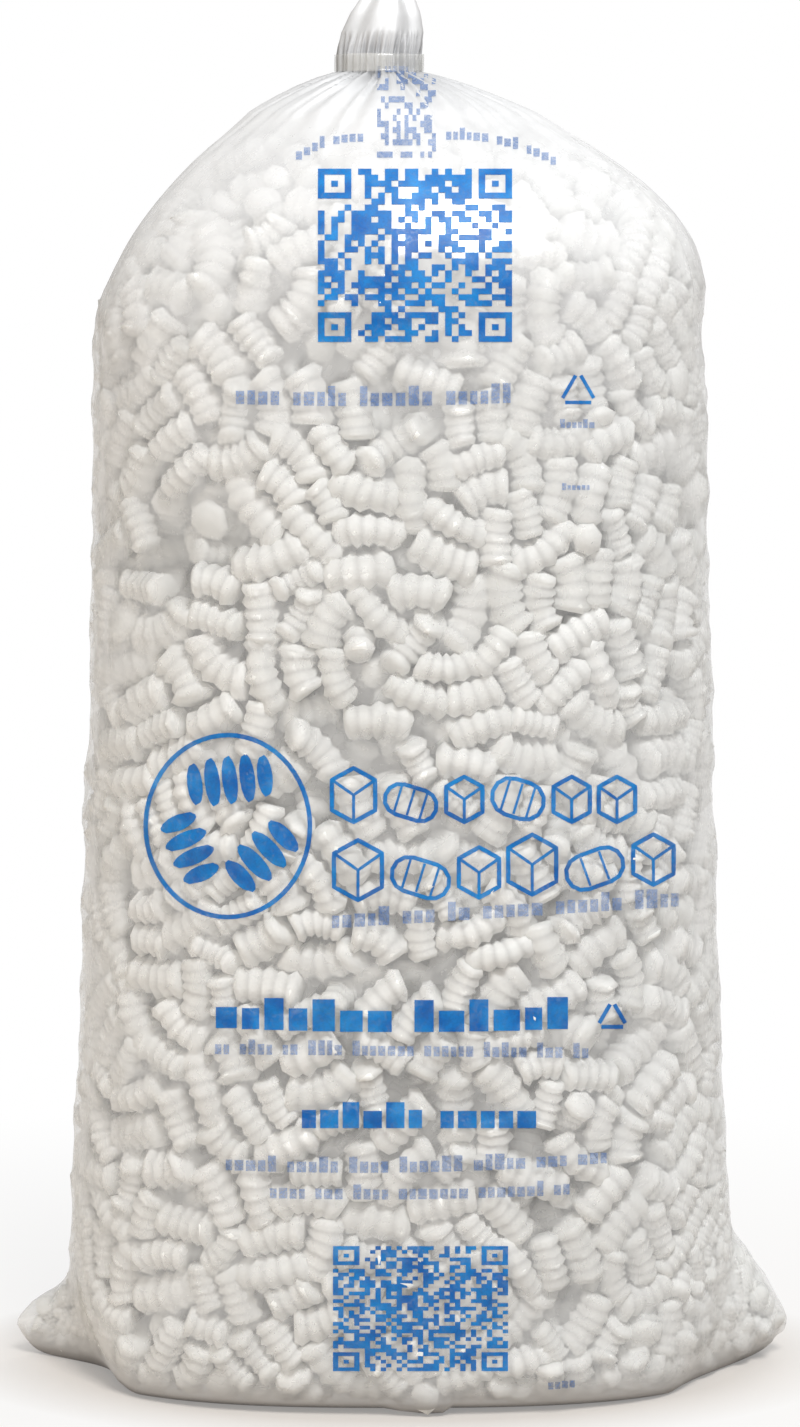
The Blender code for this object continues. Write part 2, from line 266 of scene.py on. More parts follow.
def loose_places():
    """The middle and the long direction of each loose peanut in the frame, from its own corners."""
    middles, axes = [], []
    for name in LOOSE_NODES:
        corners = np.array([corner.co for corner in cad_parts[name].data.vertices])
        middle = (corners.min(axis=0) + corners.max(axis=0)) / 2
        spread = np.linalg.eigh(np.cov((corners - corners.mean(axis=0)).T))[1][:, -1]
        middles.append(middle)
        axes.append(spread)
    return np.array(middles), np.array(axes)


def scatter(tree, count):
    low, high = SKIN.min(axis=(0, 1)), SKIN.max(axis=(0, 1))
    high[2] = HEAP_TOP
    places = np.empty((0, 3))
    while len(places) < count:
        tried = random.uniform(low, high, (count, 3))
        depth, _ = depth_below(tree, tried)
        places = np.concatenate([places, tried[depth > PEANUT_RADIUS * 0.8]])
    return places[:count], random_ways(count)


def random_ways(count):
    ways = random.normal(size=(count, 3))
    return ways / np.linalg.norm(ways, axis=1, keepdims=True)


def scatter_small(tree, count, low, high, sizes):
    """Peanuts and broken bits, each as large as its place allows, in a region and its mirror images."""
    places, own = np.empty((0, 3)), np.empty(0)
    while len(places) < count:
        tried = random.uniform(low, high, (count, 3)) * random.choice([-1, 1], (count, 3))
        tried[:, 2] = np.abs(tried[:, 2])
        room = depth_below(tree, tried)[0] - film_gap(tried[:, 2])
        fits = room > sizes[0] * PEANUT_RADIUS
        places = np.concatenate([places, tried[fits]])
        own = np.concatenate([own, np.clip(room[fits] / PEANUT_RADIUS, *sizes)])
    return places[:count], random_ways(count), own[:count]


def near_pairs(middles):
    """Each pair of peanuts that could touch in the next few steps."""
    reach = 2 * (ARM + PEANUT_RADIUS) + 4 * MM
    first, second = [], []
    for n in range(len(middles) - 1):
        gap = middles[n + 1 :] - middles[n]
        close = np.nonzero((gap * gap).sum(axis=1) < reach * reach)[0] + n + 1
        first.append(np.full(len(close), n))
        second.append(close)
    return np.concatenate(first), np.concatenate(second)


def closest_places(p, a, arm_a, q, b, arm_b):
    """Where along each of two lines they come nearest, measured from their middles."""
    apart = p - q
    cosine, d, e = (a * b).sum(axis=1), (a * apart).sum(axis=1), (b * apart).sum(axis=1)
    t = np.clip((cosine * e - d) / np.maximum(1 - cosine**2, 1e-6), -arm_a, arm_a)
    s = np.clip(e + cosine * t, -arm_b, arm_b)
    t = np.clip(cosine * s - d, -arm_a, arm_a)
    return t, s


def push(ends, index, share, move):
    """Move a peanut at a share of its length, from -1 to 1: its nearer end moves the most."""
    share = (share + 1)[:, None] / 2
    np.add.at(ends[0], index, move * (1 - share))
    np.add.at(ends[1], index, move * share)


def film_gap(height):
    """The film lies on the peanuts, and stands off them at the floor and where the dome starts."""
    return np.interp(height, [0.010, 0.022, 0.50, 0.58, 0.65], np.array([2.0, 0.8, 0.8, 2.5, 5.0]) * MM)


def settle(middles, axes, sizes, fixed):
    tree = inner_skin()
    free = np.ones(len(middles))
    free[:fixed] = 0
    drawn = random.uniform(size=len(middles)) < DRAWN_SHARE
    arms = ARM * sizes
    ends = [middles - axes * arms[:, None], middles + axes * arms[:, None]]
    for step in range(SETTLE_STEPS):
        radii = PEANUT_RADIUS * sizes * min(1, 0.7 + 0.4 * step / SETTLE_STEPS)
        if step % 4 == 0:
            first, second = near_pairs(middles)
        t, s = closest_places(middles[first], axes[first], arms[first], middles[second], axes[second], arms[second])
        gap = middles[first] + axes[first] * t[:, None] - middles[second] - axes[second] * s[:, None]
        distance = np.maximum(np.linalg.norm(gap, axis=1), 1e-6)
        overlap = radii[first] + radii[second] - distance
        hit = (overlap > 0) & (free[first] + free[second] > 0)
        way = gap[hit] / distance[hit, None] * overlap[hit, None] * 0.6
        one, two = first[hit], second[hit]
        total = (free[one] + free[two])[:, None]
        moved = [np.zeros_like(middles), np.zeros_like(middles)]
        push(moved, one, t[hit] / arms[one], way * free[one, None] / total)
        push(moved, two, s[hit] / arms[two], -way * free[two, None] / total)
        ends = [end + move for end, move in zip(ends, moved)]
        depths, ways = zip(*[depth_below(tree, end) for end in ends])
        outer = drawn & ((depths[0] + depths[1]) / 2 < radii + OUTER_REACH)
        for n, end in enumerate(ends):
            short = radii + film_gap(end[:, 2]) - depths[n]
            moved = np.where(short > 0, short, np.where(outer, short * DRAW_SHARE, 0)) * free
            end = end + ways[n] * moved[:, None]
            end[:, 2] = np.where(free > 0, np.minimum(end[:, 2], HEAP_TOP - radii), end[:, 2])
            ends[n] = end
        middles, axes = (ends[0] + ends[1]) / 2, ends[1] - ends[0]
        axes /= np.linalg.norm(axes, axis=1, keepdims=True)
        ends = [middles - axes * arms[:, None], middles + axes * arms[:, None]]
    print(len(middles), "peanuts,", hit.sum(), "touch, by", round(float(overlap[hit].mean() / MM), 2), "mm")
    return middles, axes


def heap_places():
    """All peanuts: first the loose ones of the frame, which keep their places, then the rest."""
    middles, axes = loose_places()
    tree = inner_skin()
    more_middles, more_axes = scatter(tree, HEAP_COUNT)
    filler = [scatter_small(tree, *region) for region in FILLED_REGIONS]
    middles = np.concatenate([middles, more_middles, *[part[0] for part in filler]])
    axes = np.concatenate([axes, more_axes, *[part[1] for part in filler]])
    sizes = np.concatenate([
        np.ones(len(LOOSE_NODES)), random.uniform(*HEAP_SIZES, HEAP_COUNT), *[part[2] for part in filler]
    ])
    return *settle(middles, axes, sizes, len(LOOSE_NODES)), sizes


MIDDLES, AXES, SIZES = heap_places()
OUTER_DEPTH = 36 * MM
DEPTHS = depth_below(inner_skin(), MIDDLES)[0]


# %% [markdown]
# ## A packing peanut
#
# Loose fill is puffed out of a nozzle and chopped, which leaves short, soft ribbed rolls: fat rings with tight
# waists between them, and ends that bulge a little round a dimple. No two are alike. We model a roll by extruding
# a small polygon ring after ring and scaling each ring in turn, then bend some of them, as the real ones curl.
# Since over a thousand are needed, each has only a few dozen faces, and smooth shading rounds them off.

# %% Model the peanuts
PEANUT_SIDES = 7
BEND = 3.2 * MM


def select_none():
    if bpy.context.object and bpy.context.object.mode != "OBJECT":
        bpy.ops.object.mode_set(mode="OBJECT")
    bpy.ops.object.select_all(action="DESELECT")


def rib_rings(ribs, waist):
    """How far along each ring of a peanut is, how wide, and how much it stands out, from end to end."""
    rings = [(-1.0, 0.78, 0.6)]
    for n in range(ribs):
        middle = -1 + 2 * (n + 0.5) / ribs
        rings.append((middle, 1.0 - 0.07 * math.sin(n * 2.3 + ribs + waist * 40), 1.0))
        if n < ribs - 1:
            rings.append((middle + 1 / ribs, waist, 0.0))
    return rings + [(1.0, 0.78, 0.6)]


def model_peanut(name, ribs, waist, curl, length=1.0, girth=1.0):
    """A ribbed roll about Z round its own middle. Curl bends it, and a strong one makes it a hook."""
    rings = rib_rings(ribs, waist)
    half, radius = PEANUT_LENGTH / 2 * length, PEANUT_RADIUS * 1.04 * girth
    select_none()
    bpy.ops.mesh.primitive_circle_add(
        vertices=PEANUT_SIDES,
        radius=radius * rings[0][1],
        fill_type="NGON",
        location=(0, 0, half * rings[0][0]),
    )
    peanut = bpy.context.object
    peanut.name = name
    bpy.ops.object.mode_set(mode="EDIT")
    bpy.ops.mesh.select_all(action="SELECT")
    for (below, narrow, _), (above, wide, _) in zip(rings, rings[1:]):
        bpy.ops.mesh.extrude_region_move(TRANSFORM_OT_translate={"value": (0, 0, half * (above - below))})
        bpy.ops.transform.resize(value=(wide / narrow, wide / narrow, 1), center_override=(0, 0, half * above))
    bpy.ops.mesh.select_all(action="SELECT")
    bpy.ops.mesh.normals_make_consistent(inside=False)
    bpy.ops.object.mode_set(mode="OBJECT")
    bpy.ops.object.transform_apply(location=True, rotation=True, scale=True)
    places, stands = [ring[0] for ring in rings], [ring[2] for ring in rings]
    # The rib value is kept so that the foam material can paint shade into the waists.
    rib = peanut.data.attributes.new("rib", "FLOAT", "POINT")
    for corner in peanut.data.vertices:
        place = corner.co
        rib.data[corner.index].value = float(np.interp(place.z / half, places, stands))
        lump = noise.noise_vector(place * 85 + Vector((ribs, curl * 90, girth * 7))) * 1.7 * MM
        along = place.z / half
        place.z -= place.x * 2 * along * curl * BEND / half
        place.x += curl * (along**2 - 0.4) * BEND
        place.y *= 0.92
        corner.co = place + lump
    bpy.ops.object.shade_smooth()
    print(name, len(peanut.data.polygons), "faces")
    return peanut


PEANUT_MODELS = [
    model_peanut("roll_straight", 5, 0.80, 0.4),
    model_peanut("roll_curled", 5, 0.78, 1.4, 1.03, 0.98),
    model_peanut("roll_fine", 5, 0.82, 0.9, 1.05, 0.98),
    model_peanut("roll_short", 4, 0.79, -1.1, 0.88, 1.03),
    model_peanut("roll_bent", 5, 0.79, -2.0, 1.12, 0.94),
    model_peanut("roll_plain", 4, 0.82, 0.8, 0.90, 1.02),
]


# %% [markdown]
# ## Copies of the peanuts
#
# Each place in the heap gets a copy of one of the models, rolled about its own length by a random angle. The
# copies of one group are gathered in one mesh, since over a thousand objects would be slow to handle. Each copy
# also stores a random number on its corners, so that the foam material can tint every peanut a little differently.

# %% Lay the copies
FLOOR_LIFT = 0.6 * MM


def turns(axes):
    """For each direction, a turn that takes Z there, after a random roll."""
    roll = random.uniform(0, 2 * math.pi, len(axes))
    helper = np.where(np.abs(axes[:, 2:]) < 0.9, [[0.0, 0.0, 1.0]], [[1.0, 0.0, 0.0]])
    side = np.cross(helper, axes)
    side /= np.linalg.norm(side, axis=1, keepdims=True)
    other = np.cross(axes, side)
    across = side * np.cos(roll)[:, None] + other * np.sin(roll)[:, None]
    return np.stack([across, np.cross(axes, across), axes], axis=-1)


def lay_copies(name, middles, axes, sizes):
    """One mesh with a peanut at each place."""
    turn = turns(axes)
    choice = random.integers(0, len(PEANUT_MODELS), len(middles))
    tint = random.uniform(0, 1, len(middles))
    corners, faces, tints, ribs, total = [], [], [], [], 0
    for n, middle in enumerate(middles):
        model = PEANUT_MODELS[choice[n]].data
        flat = np.empty(len(model.vertices) * 3)
        model.vertices.foreach_get("co", flat)
        corners.append(flat.reshape(-1, 3) * sizes[n] @ turn[n].T + middle)
        faces += [[total + corner for corner in face.vertices] for face in model.polygons]
        tints.append(np.full(len(model.vertices), tint[n]))
        ribs += [value.value for value in model.attributes["rib"].data]
        total += len(model.vertices)
    corners = np.concatenate(corners)
    corners[:, 2] = np.maximum(corners[:, 2], FLOOR_LIFT)
    mesh = bpy.data.meshes.new(name)
    mesh.from_pydata(corners.tolist(), [], faces)
    mesh.attributes.new("tint", "FLOAT", "POINT").data.foreach_set("value", np.concatenate(tints))
    mesh.attributes.new("rib", "FLOAT", "POINT").data.foreach_set("value", ribs)
    mesh.shade_smooth()
    made = bpy.data.objects.new(name, mesh)
    bpy.context.scene.collection.objects.link(made)
    print(name, len(middles), "peanuts,", sum(len(face) - 2 for face in faces), "triangles")
    return made


def lay_heap():
    """The loose peanuts, the layer against the film at the front and at the back, and the rest."""
    loose = np.arange(len(MIDDLES)) < len(LOOSE_NODES)
    outer = (DEPTHS < OUTER_DEPTH) & ~loose
    front = MIDDLES[:, 1] < 0
    groups = {
        "peanuts_loose": loose,
        "peanuts_front": outer & front,
        "peanuts_back": outer & ~front,
        "peanuts_inner_front": ~outer & ~loose & front,
        "peanuts_inner_back": ~outer & ~loose & ~front,
    }
    made = [lay_copies(name, MIDDLES[group], AXES[group], SIZES[group]) for name, group in groups.items()]
    for model in PEANUT_MODELS:
        bpy.data.objects.remove(model)
    return made


PEANUTS = lay_heap()


# %% [markdown]
# ## The film
#
# The bag is thin polyethylene, drawn tight by the peanuts that press on it from inside. So it isn't a smooth
# balloon: it rests on the highest rib of each peanut and spans from one to the next, as a tent does over its
# poles. We start from a flat grid, which is the film as it is cut, lay it along the rings of the form, and then
# let each point sink until it meets foam or is held up by its neighbours.

# %% Stretch the film over the peanuts
FILM_LIFT = 0.85 * MM
LOOK_OUT = 8.0 * MM
SINK_LIMIT = 6.0 * MM
SINK_STEPS = 140
SUCK = 0.035 * MM
SPAN_REACH = 3.5 * MM


def outward_normals(points):
    round_it = np.roll(points, -1, axis=1) - np.roll(points, 1, axis=1)
    up = np.gradient(points, axis=0)
    out = np.cross(round_it, up)
    length = np.linalg.norm(out, axis=-1, keepdims=True)
    return out / np.maximum(length, 1e-9)


def foam_tree(pieces):
    corners, faces = [], []
    for piece in pieces:
        start = len(corners)
        corners += [corner.co[:] for corner in piece.data.vertices]
        faces += [[start + corner for corner in face.vertices] for face in piece.data.polygons]
    return BVHTree.FromPolygons(corners, faces)


def room_to_foam(points, normals, tree):
    """How far each point of the film can sink before it meets foam."""
    room = np.full(points.shape[:2], SINK_LIMIT)
    for row in range(points.shape[0]):
        for column in range(points.shape[1]):
            start = Vector(points[row, column] + normals[row, column] * LOOK_OUT)
            _, _, _, distance = tree.ray_cast(start, Vector(-normals[row, column]), SINK_LIMIT + LOOK_OUT)
            if distance is not None:
                room[row, column] = distance - LOOK_OUT - FILM_LIFT
    above, below = np.roll(room, 1, axis=0), np.roll(room, -1, axis=0)
    return np.minimum.reduce([room, above, below, np.roll(room, 1, axis=1), np.roll(room, -1, axis=1)])


def neighbour_mean(field):
    above = np.concatenate([field[:1], field[:-1]])
    below = np.concatenate([field[1:], field[-1:]])
    return (np.roll(field, 1, axis=1) + np.roll(field, -1, axis=1) + above + below) / 4


def sink(room, held):
    """The depth of the film: it is drawn in, smoothed by its own tension and stopped by the foam."""
    depth = np.minimum(room, 2 * MM)
    for _ in range(SINK_STEPS):
        depth = neighbour_mean(depth) + SUCK
        depth = np.minimum(depth * held, room)
    return depth


def fold_profile(angle, radius):
    """Folds that run out from the neck: sharp on top and round below, and no two alike. From 0 to 1."""
    turn = angle + 0.9 * np.log(np.maximum(radius, 0.02) / 0.02) * 0.25
    wave = 0.55 * np.cos(13 * turn + 0.4) + 0.5 * np.cos(21 * turn + 2.1) + 0.35 * np.cos(34 * turn + 4.0)
    return 1 - np.abs(np.clip(wave / 1.2, -1, 1)) ** 0.8


def tail_profile(angle):
    """The few soft folds of the loose tail. From 0 to 1."""
    return 0.5 + 0.5 * (0.6 * np.cos(5 * angle + 1.1) + 0.4 * np.cos(8 * angle + 3.0))


def side_creases(angle, height):
    """The two lines where the film was folded flat on its reel: faint ridges up the sides to the neck."""
    ridge = np.exp(-(((angle + 0.42) / 0.022) ** 2)) + np.exp(-(((angle - math.pi + 0.35) / 0.022) ** 2))
    return ridge * np.interp(height, [0.30, 0.50, 0.64, 0.67], [0, 1, 1, 0])


def wrinkles(points):
    """Fine, loose wrinkles all over the film."""
    field = np.empty(points.shape[:2])
    for row in range(points.shape[0]):
        for column in range(points.shape[1]):
            x, y, z = points[row, column]
            place = Vector((x * 26, y * 26, z * 15))
            field[row, column] = noise.ridged_multi_fractal(place, 0.8, 2.2, 3, 0.9, 2.0) - 1.1
    return field


def film_points():
    out = outward_normals(SKIN)
    height = SKIN[..., 2]
    radius = np.hypot(SKIN[..., 0] - RINGS["centre"], SKIN[..., 1])
    standing = np.clip((height - 3 * MM) / (9 * MM), 0, 1)
    held = standing * (height < HEAP_TOP - 8 * MM)
    room = room_to_foam(SKIN, out, foam_tree(PEANUTS[:3]))
    depth = sink(np.minimum(room, np.interp(height, [0.5, 0.6], [SINK_LIMIT, 2 * MM])), held)
    gathered = np.exp(-(radius - NECK_WIDTH / 2) / (42 * MM)) * np.clip((height - 0.58) / 0.06, 0, 1)
    gathered = np.minimum(gathered, 1)
    loose = np.clip((height - NECK_HEIGHT - TAPE_HEIGHT) / (12 * MM), 0, 1)
    folds = 5.0 * MM * (1 - loose) * (1 - fold_profile(ANGLE, radius)) + 3.4 * MM * loose * (1 - tail_profile(ANGLE))
    crumple = wrinkles(SKIN) * 0.16 * MM * standing
    relief = 1.6 * MM * side_creases(ANGLE, height) + crumple - depth - folds * gathered
    spans = np.clip((room - depth) / SPAN_REACH, 0, 1) * standing
    print("film sinks by", round(float(depth.mean() / MM), 1), "mm on average")
    points = SKIN + out * relief[..., None]
    points[..., 2] = np.maximum(points[..., 2], 0)
    return points, spans


def lay_film(points, spans):
    """A grid laid along the rings, welded where the tube closes and along the bottom."""
    rows, columns = points.shape[:2]
    select_none()
    bpy.ops.mesh.primitive_grid_add(x_subdivisions=columns, y_subdivisions=rows - 1, size=1)
    film = bpy.context.object
    film.name = "bag_film"
    flat = np.empty(len(film.data.vertices) * 3)
    film.data.vertices.foreach_get("co", flat)
    flat = flat.reshape(-1, 3) + 0.5
    column = np.rint(flat[:, 0] * columns).astype(int) % columns
    row = np.rint(flat[:, 1] * (rows - 1)).astype(int)
    film.data.vertices.foreach_set("co", points[row, column].ravel())
    gather = film.data.attributes.new("gather", "FLOAT", "POINT")
    gather.data.foreach_set("value", np.clip(RINGS["gather"][row, 0], 0, 1))
    span = film.data.attributes.new("span", "FLOAT", "POINT")
    span.data.foreach_set("value", spans[row, column])
    # Painted light: this value rises from the shoulders to the neck, and the film material paints the film whiter by
    # it; it also adds haze where the film hangs slack.
    slack_and_top_light = film.data.attributes.new("slack_and_top_light", "FLOAT", "POINT")
    slack_and_top_light.data.foreach_set("value", np.interp(points[row, column, 2], [0.47, 0.60], [0.0, 1.0]))
    # Painted shade: this value is 1 at the floor and 0 from 18 mm up, and the film material paints the film dark brown
    # and nearly opaque by it, for the shaded underside.
    foot_shade = film.data.attributes.new("foot_shade", "FLOAT", "POINT")
    foot_shade.data.foreach_set("value", np.interp(points[row, column, 2], [0, 4 * MM, 9 * MM, 18 * MM], [1.0, 0.8, 0.32, 0.0]))
    bpy.ops.object.mode_set(mode="EDIT")
    bpy.ops.mesh.select_all(action="SELECT")
    bpy.ops.mesh.remove_doubles(threshold=0.00002)
    bpy.ops.mesh.normals_make_consistent(inside=False)
    bpy.ops.object.mode_set(mode="OBJECT")
    bpy.ops.object.shade_smooth()
    print("film", len(film.data.polygons), "faces, box", [round(side, 3) for side in film.dimensions])
    return film


FILM = lay_film(*film_points())


# %% [markdown]
# ## The tape
#
# The gathered neck is bound with a band of clear tape, one turn and a bit. It follows the neck's own oval, its
# edges aren't quite straight, and its end sticks down over its start.

# %% Wrap the tape
def wrap_tape():
    select_none()
    bpy.ops.mesh.primitive_grid_add(x_subdivisions=140, y_subdivisions=6, size=1)
    tape = bpy.context.object
    tape.name = "clear_tape"
    for corner in tape.data.vertices:
        share, up = corner.co.x + 0.5, corner.co.y + 0.5
        turn = -0.6 + share * 2 * math.pi * 1.12
        proud = 0.35 * MM + share * 0.5 * MM + 0.12 * MM * math.sin(turn * 11 + up * 2)
        edge = 0.35 * MM * math.sin(turn * 3 + 1) * (up - 0.5)
        corner.co = (
            NECK_OFFSET + (NECK_WIDTH / 2 + proud) * math.cos(turn),
            (NECK_DEPTH / 2 + proud) * math.sin(turn),
            NECK_HEIGHT + TAPE_HEIGHT * up + edge,
        )
    bpy.ops.object.mode_set(mode="EDIT")
    bpy.ops.mesh.select_all(action="SELECT")
    bpy.ops.mesh.normals_make_consistent(inside=False)
    bpy.ops.object.mode_set(mode="OBJECT")
    wall = tape.modifiers.new("wall", "SOLIDIFY")
    wall.thickness, wall.offset = 0.12 * MM, 0
    bpy.ops.object.modifier_apply(modifier=wall.name)
    bpy.ops.object.shade_smooth()
    print("tape", len(tape.data.polygons), "faces")
    return tape


TAPE = wrap_tape()


# %% [markdown]
# ## Drawing the print
#
# The bag is printed in one blue ink. We draw the print flat, in the photograph's own pixels, as strokes and fields
# that are cut into small quads. Then each corner is carried along the camera's line of sight onto the film, a
# fraction of a millimetre above it, so the print follows every dent, as real ink does.

# %% Print helpers
INK_LIFT = 0.3 * MM
STEP = 4.5
EYE = bpy.context.scene.camera.location.copy()
SIGHT_UP = Vector((0, math.sin(CAMERA_ELEVATION), math.cos(CAMERA_ELEVATION)))


def film_tree():
    mesh = FILM.data
    corners = np.empty(len(mesh.vertices) * 3)
    mesh.vertices.foreach_get("co", corners)
    return BVHTree.FromPolygons(corners.reshape(-1, 3).tolist(), [list(face.vertices) for face in mesh.polygons])


FILM_TREE = film_tree()


def on_film(x, y):
    """The place on the film that the camera sees at a pixel."""
    right, up = (x - PICTURE[0] / 2) * PICTURE_SCALE, (PICTURE[1] / 2 - y) * PICTURE_SCALE
    aim = (LOOKED_AT + Vector((right, 0, 0)) + SIGHT_UP * up - EYE).normalized()
    hit, normal, _, _ = FILM_TREE.ray_cast(EYE, aim)
    if hit is None:
        return None
    if normal.dot(aim) > 0:
        normal = -normal
    return hit + normal * INK_LIFT


def line(points, width, closed=False):
    """Quads along a line of points, no longer than a step."""
    points = [np.array(point, float) for point in points]
    if closed:
        points.append(points[0])
    fine = [points[0]]
    for start, end in zip(points, points[1:]):
        count = max(1, math.ceil(np.linalg.norm(end - start) / STEP))
        fine += [start + (end - start) * n / count for n in range(1, count + 1)]
    fine = np.array(fine)
    along = np.gradient(fine, axis=0)
    if closed:
        along[0] = along[-1] = fine[1] - fine[-2]
    along /= np.maximum(np.linalg.norm(along, axis=1, keepdims=True), 1e-9)
    side = np.stack([-along[:, 1], along[:, 0]], axis=1) * width / 2
    left, right = fine + side, fine - side
    return [[left[n], left[n + 1], right[n + 1], right[n]] for n in range(len(fine) - 1)]


def field(points):
    """Quads that fill a convex outline, in level strips."""
    points = [np.array(point, float) for point in points]
    low, high = min(p[1] for p in points), max(p[1] for p in points)
    count = max(1, math.ceil((high - low) / (STEP * 0.6)))
    levels = np.linspace(low, high, count + 1)

    def span(level):
        across = []
        for start, end in zip(points, points[1:] + points[:1]):
            if (start[1] - level) * (end[1] - level) <= 0 and start[1] != end[1]:
                share = (level - start[1]) / (end[1] - start[1])
                across.append(start[0] + (end[0] - start[0]) * share)
        return min(across), max(across)

    quads = []
    for top, bottom in zip(levels, levels[1:]):
        (a, b), (c, d) = span(top + 1e-4 * (bottom - top)), span(bottom - 1e-4 * (bottom - top))
        pieces = max(1, math.ceil(max(b - a, d - c) / STEP))
        for n in range(pieces):
            p, q = n / pieces, (n + 1) / pieces
            quads.append([(a + (b - a) * p, top), (a + (b - a) * q, top), (c + (d - c) * q, bottom), (c + (d - c) * p, bottom)])
    return quads


def oval(x, y, rx, ry, count=48, start=0.0, end=1.0):
    turn = [2 * math.pi * (start + (end - start) * n / count) for n in range(count + (end - start < 1))]
    return [(x + rx * math.cos(t), y + ry * math.sin(t)) for t in turn]


def box(x0, y0, x1, y1):
    return [(x0, y0), (x1, y0), (x1, y1), (x0, y1)]


def tilted(points, x, y, tilt, along=0.0):
    """An outline moved along its own length, turned and set down at x, y."""
    cosine, sine = math.cos(tilt), math.sin(tilt)
    return [(x + (a + along) * cosine - b * sine, y + (a + along) * sine + b * cosine) for a, b in points]


def roll(x, y, length, width, tilt, count=6):
    """The outline of a round-ended roll."""
    half = length / 2 - width / 2
    outline = []
    for end in (1, -1):
        for n in range(count + 1):
            t = -math.pi / 2 + math.pi * n / count + (0 if end > 0 else math.pi)
            outline.append((end * half + width / 2 * math.cos(t), width / 2 * math.sin(t)))
    return tilted(outline, x, y, tilt)


def print_on_film(name, quads):
    """One thin mesh of ink from flat quads."""
    corners, index, faces = [], {}, []
    for quad in quads:
        face = []
        for x, y in quad:
            key = (round(float(x), 2), round(float(y), 2))
            if key not in index:
                place = on_film(*key)
                index[key] = None if place is None else len(corners)
                if place is not None:
                    corners.append(place)
            face.append(index[key])
        if None not in face and len(set(face)) > 2:
            faces.append(list(dict.fromkeys(face)))
    mesh = bpy.data.meshes.new(name)
    mesh.from_pydata(corners, [], faces)
    bend = bmesh.new()
    bend.from_mesh(mesh)
    for face in list(bend.faces):
        face.normal_update()
        if face.normal.dot(EYE - face.calc_center_median()) < 0:
            face.normal_flip()
    too_long = [face for face in bend.faces if max(edge.calc_length() for edge in face.edges) > 16 * MM]
    bmesh.ops.delete(bend, geom=too_long, context="FACES")
    bend.to_mesh(mesh)
    bend.free()
    mesh.shade_smooth()
    made = bpy.data.objects.new(name, mesh)
    bpy.context.scene.collection.objects.link(made)
    print(name, len(mesh.polygons), "faces")
    return made


# %% [markdown]
# ## The print's design
#
# From top to bottom: a mosaic panel, a fine line of dashes, the emblem with two rows of cartons and rolls beside
# it, bolder and finer lines of dashes, and a second mosaic panel. The mosaics are random squares, and the dashes
# stand for small print, without any words in them.

# %% Draw the print
def mosaic(x0, y0, x1, y1, cells, filled=0.5, frames=True):
    """A square field of random small squares, with a small framed square in each of its corners."""
    on = random.uniform(size=(cells, cells)) < filled
    if frames:
        last = cells - 5
        for row, column in ((0, 0), (0, last), (last, 0), (last, last)):
            on[max(0, row - 1) : row + 6, max(0, column - 1) : column + 6] = False
            on[row : row + 5, column : column + 5] = True
            on[row + 1 : row + 4, column + 1 : column + 4] = False
            on[row + 2, column + 2] = True
    wide, high = (x1 - x0) / cells, (y1 - y0) / cells
    quads = []
    for row in range(cells):
        for column in range(cells):
            if on[row, column]:
                x, y = x0 + wide * column, y0 + high * row
                quads += field(box(x, y, x + wide, y + high))
    return quads


def dashes(x0, x1, y, height, rise=0.0, bold=1.0, sag=0.0):
    """A line of small print: blocks of differing heights in groups of differing lengths."""
    quads, x = [], x0
    while x < x1:
        for _ in range(random.integers(2, 8)):
            wide = height * random.uniform(0.42, 0.66) * bold
            if x + wide > x1:
                break
            share = (x - x0) / (x1 - x0)
            level = y - rise * share + sag * 4 * share * (1 - share)
            tall = height * random.choice([0.66, 0.66, 0.7, 1.0])
            quads += field(box(x, level - tall, x + wide, level))
            x += wide + height * 0.16
        x += height * 0.55
    return quads


def triangle(x, y, size, width):
    """Three bars in a triangle, with a gap at each corner."""
    corners = [(x + size * 0.58 * math.sin(a), y - size * 0.58 * math.cos(a)) for a in (0, 2.094, 4.189)]
    quads = []
    for start, end in zip(corners, corners[1:] + corners[:1]):
        start, end = np.array(start), np.array(end)
        quads += line([start + (end - start) * 0.14, end - (end - start) * 0.14], width)
    return quads


def carton_sign(x, y, wide, high, width):
    """A carton in outline, seen towards one of its edges, with its lid's tape."""
    middle, top, waist = x + wide / 2, y - high, y - high * 0.5
    quads = line([(x, y - high * 0.78), (middle, top), (x + wide, y - high * 0.78), (x + wide, y - high * 0.22),
                  (middle, y), (x, y - high * 0.22)], width, closed=True)
    quads += line([(x, y - high * 0.78), (middle, waist), (x + wide, y - high * 0.78)], width * 0.7)
    return quads + line([(middle, waist), (middle, y)], width * 0.7)


def roll_sign(x, y, wide, high, width, tilt=0.0, ribs=2):
    """A packing peanut in outline, with its ribs."""
    middle = (x + wide / 2, y - high / 2)
    quads = line(roll(*middle, wide, high * 0.8, tilt), width, closed=True)
    for n in range(ribs):
        along = (n + 1) / (ribs + 1) - 0.5
        a = np.array(middle) + along * wide * np.array([math.cos(tilt), math.sin(tilt)])
        side = np.array([-math.sin(tilt), math.cos(tilt)]) * high * 0.34
        quads += line([a - side, a + side], width * 0.6)
    return quads


def solid_roll(x, y, length, width, tilt, ribs=4):
    """A packing peanut as a row of ovals, one for each rib."""
    quads = []
    for n in range(ribs):
        along = length * ((n + 0.5) / ribs - 0.5)
        half = width / 2 * (1.0 if 0 < n < ribs - 1 else 0.86)
        quads += field(tilted(oval(0, 0, length / ribs * 0.44, half, 14), x, y, tilt, along))
    return quads


def emblem():
    """A ring with three rolls of foam in it, one on top of two."""
    quads = line(oval(228, 826, 82, 91, 60), 4.6, closed=True)
    quads += solid_roll(230, 780, 88, 50, -0.12, 5) + solid_roll(190, 848, 74, 45, 1.15)
    quads += solid_roll(262, 856, 78, 48, -0.75)
    return quads


